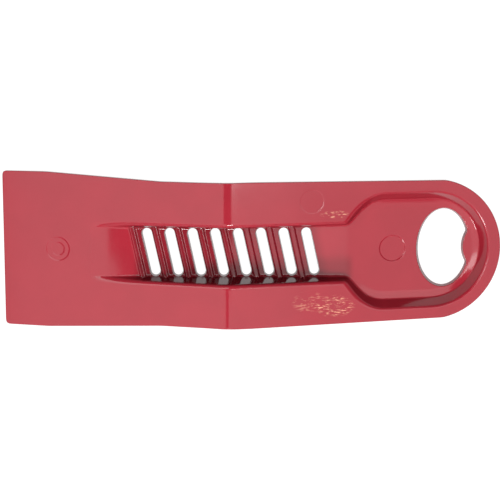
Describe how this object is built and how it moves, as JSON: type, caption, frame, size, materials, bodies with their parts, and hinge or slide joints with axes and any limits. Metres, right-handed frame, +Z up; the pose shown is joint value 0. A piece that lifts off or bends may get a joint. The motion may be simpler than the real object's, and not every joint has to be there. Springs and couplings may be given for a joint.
{
  "type": "hive tool",
  "caption": "One-piece moulded hive tool: flat bevelled scraping blade, ridged handle with a slotted channel, and a round end pocket with a toothed bottle-opener mouth.",
  "frame": {"origin": "bottom centre of the tool's box as it lies on a flat surface, on its scraping edge and the end of the pocket's underside", "axes": "+X along the tool from the blade to the rounded handle end, +Y across it, +Z up, on the side where the channel and pocket open"},
  "size_m": [0.2472, 0.077, 0.0343],
  "materials": {
    "red_plastic": "glossy moulded plastic with faint flow marks and light scuffs"
  },
  "bodies": {
    "root": {"hive_tool_moulding": "red_plastic"}
  },
  "joints": []
}
